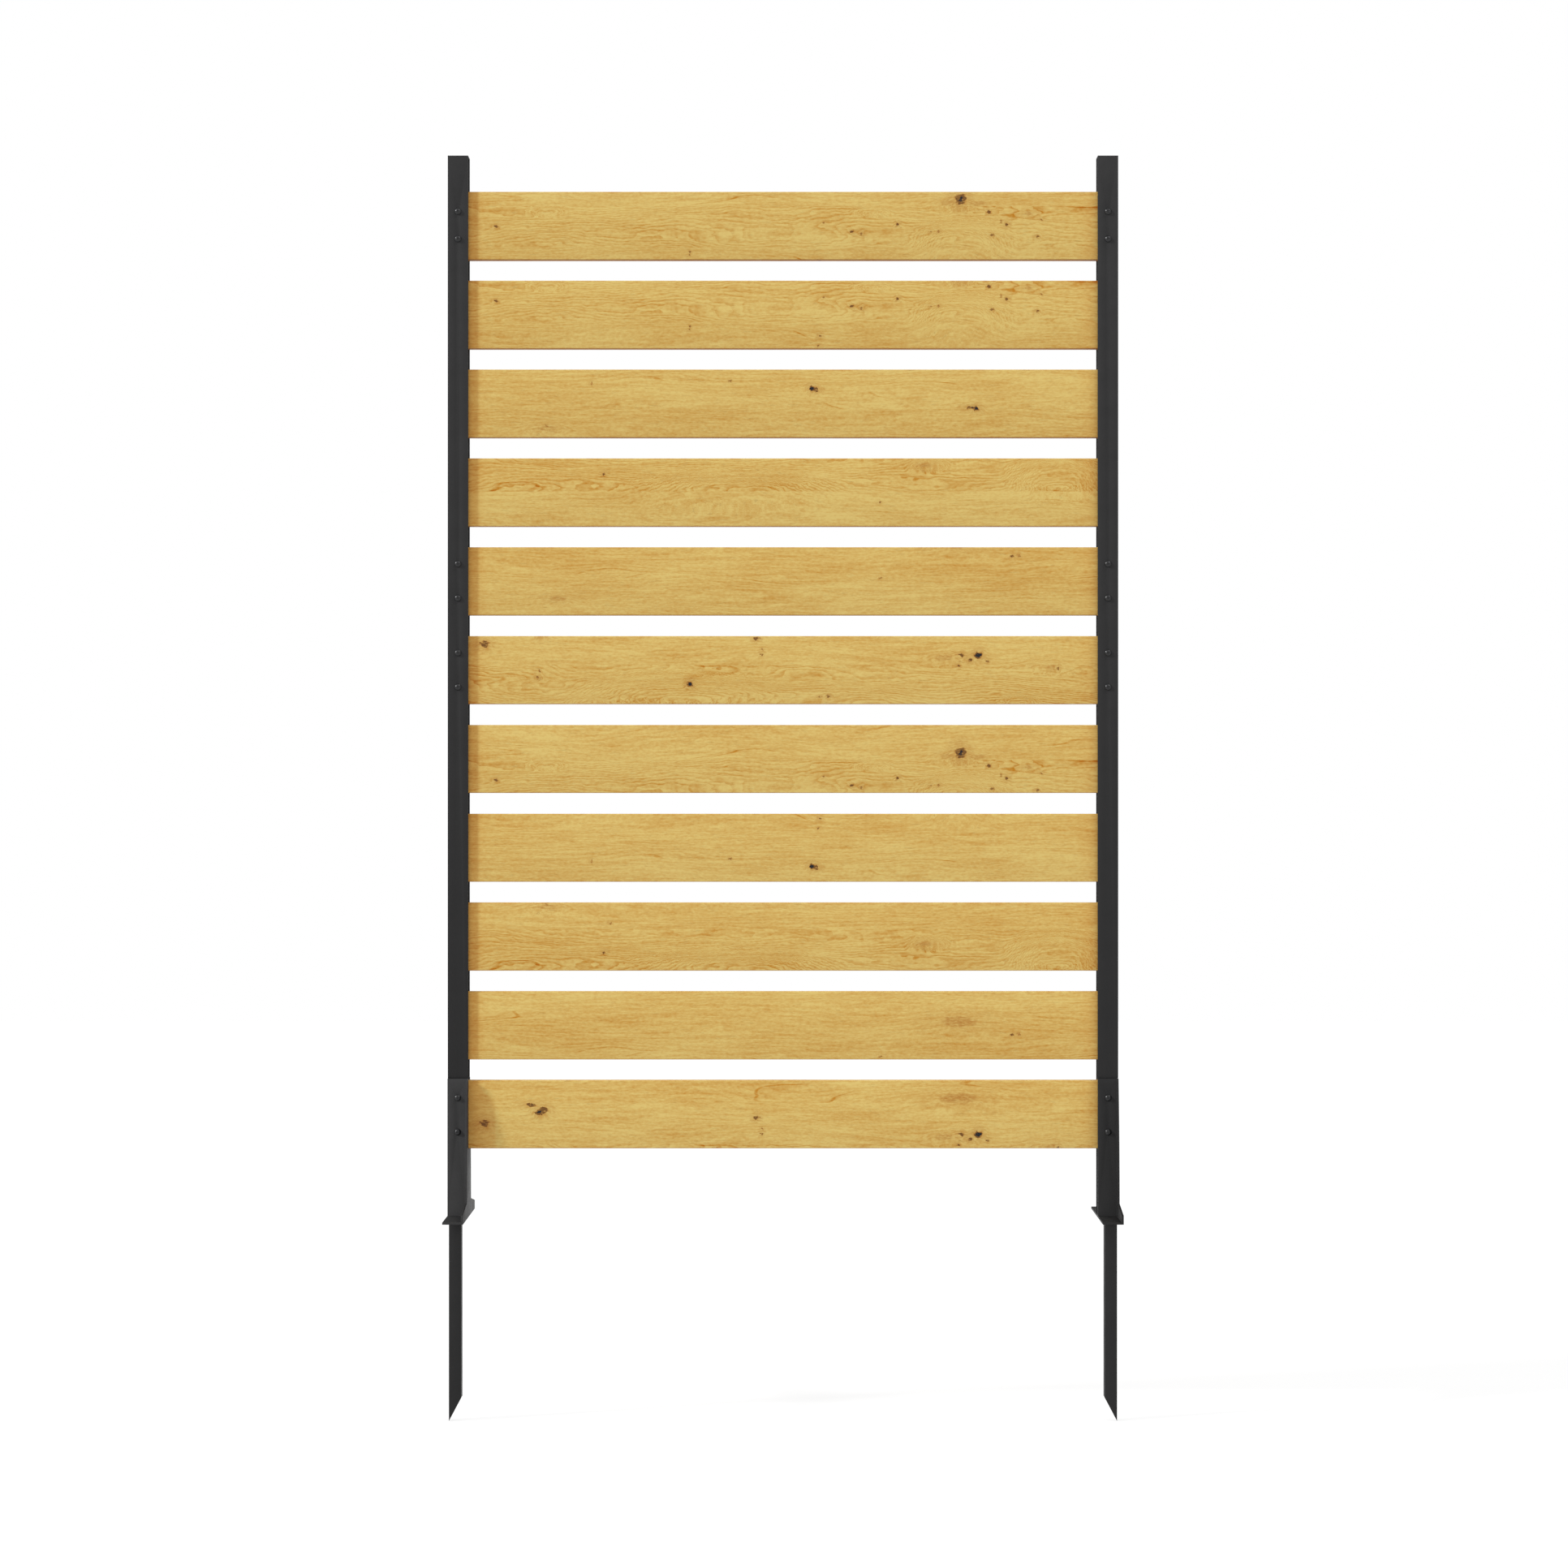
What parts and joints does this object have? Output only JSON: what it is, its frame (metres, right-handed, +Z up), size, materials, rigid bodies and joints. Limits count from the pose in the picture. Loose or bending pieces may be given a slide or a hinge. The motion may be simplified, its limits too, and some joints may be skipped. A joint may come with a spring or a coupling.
{
  "type": "garden privacy screen",
  "caption": "Upright garden privacy screen with horizontal wooden slats held in two steel channel posts on foot brackets with ground spikes.",
  "frame": {"origin": "at ground level, midway between the posts and in the middle of their depth", "axes": "+Z up, X along the slats, the screw heads face -Y"},
  "size_m": [0.98, 0.18, 1.85],
  "materials": {
    "post_metal": "fine matt powder coat, anthracite",
    "slat_wood": "oiled, knotty, satin",
    "spacer_plastic": "matt moulded",
    "screw_metal": "black coated, satin",
    "hardware_steel": "zinc plated"
  },
  "bodies": {
    "root": {"left_post": "post_metal", "left_post_cap": "post_metal", "left_foot_bracket": "post_metal", "left_spike": "post_metal", "left_screws": "screw_metal", "left_washers": "hardware_steel", "left_nuts": "hardware_steel", "left_spacer_01": "spacer_plastic", "left_spacer_02": "spacer_plastic", "left_spacer_03": "spacer_plastic", "left_spacer_04": "spacer_plastic", "left_spacer_05": "spacer_plastic", "left_spacer_06": "spacer_plastic", "left_spacer_07": "spacer_plastic", "left_spacer_08": "spacer_plastic", "left_spacer_09": "spacer_plastic", "left_spacer_10": "spacer_plastic", "right_post": "post_metal", "right_post_cap": "post_metal", "right_foot_bracket": "post_metal", "right_spike": "post_metal", "right_screws": "screw_metal", "right_washers": "hardware_steel", "right_nuts": "hardware_steel", "right_spacer_01": "spacer_plastic", "right_spacer_02": "spacer_plastic", "right_spacer_03": "spacer_plastic", "right_spacer_04": "spacer_plastic", "right_spacer_05": "spacer_plastic", "right_spacer_06": "spacer_plastic", "right_spacer_07": "spacer_plastic", "right_spacer_08": "spacer_plastic", "right_spacer_09": "spacer_plastic", "right_spacer_10": "spacer_plastic", "slat_01": "slat_wood", "slat_02": "slat_wood", "slat_03": "slat_wood", "slat_04": "slat_wood", "slat_05": "slat_wood", "slat_06": "slat_wood", "slat_07": "slat_wood", "slat_08": "slat_wood", "slat_09": "slat_wood", "slat_10": "slat_wood", "slat_11": "slat_wood"}
  },
  "joints": []
}
